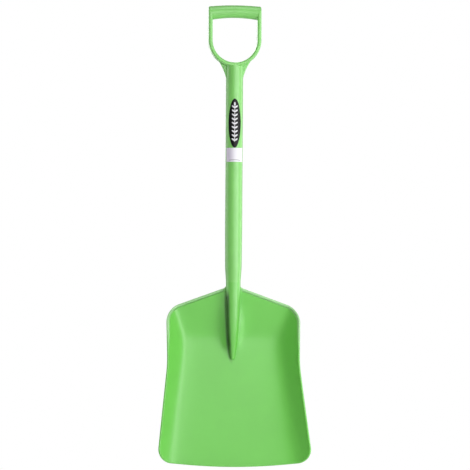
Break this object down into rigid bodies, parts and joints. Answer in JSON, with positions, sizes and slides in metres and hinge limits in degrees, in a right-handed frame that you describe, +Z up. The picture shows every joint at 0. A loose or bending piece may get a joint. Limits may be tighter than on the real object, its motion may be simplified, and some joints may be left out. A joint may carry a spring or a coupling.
{
  "type": "scoop shovel",
  "caption": "Square-mouth scoop shovel with turned-up sides, a round shaft that runs into the scoop as a ridge, and a D-shaped grip.",
  "frame": {"origin": "the middle of the hand bar's underside, where the shovel hangs on a hook", "axes": "+Z up along the shaft's axis, +X to the right seen from the scoop's open front, +Y to the back"},
  "size_m": [0.3356, 0.1163, 1.02],
  "materials": {
    "blade_plastic": "semi-gloss moulded plastic, bright green",
    "shaft_plastic": "semi-gloss moulded plastic, bright green",
    "grip_plastic": "semi-gloss moulded plastic, bright green",
    "core_metal": "drawn tube, plain",
    "oval_label": "printed film, black",
    "info_label": "printed film, white",
    "screw_steel": "zinc-plated"
  },
  "bodies": {
    "root": {"blade": "blade_plastic", "shaft_sleeve": "shaft_plastic", "core_tube": "core_metal", "d_grip": "grip_plastic", "oval_label": "oval_label", "info_label": "info_label", "grip_screw_upper": "screw_steel", "grip_screw_lower": "screw_steel", "blade_screw_upper": "screw_steel", "blade_screw_lower": "screw_steel"}
  },
  "joints": []
}
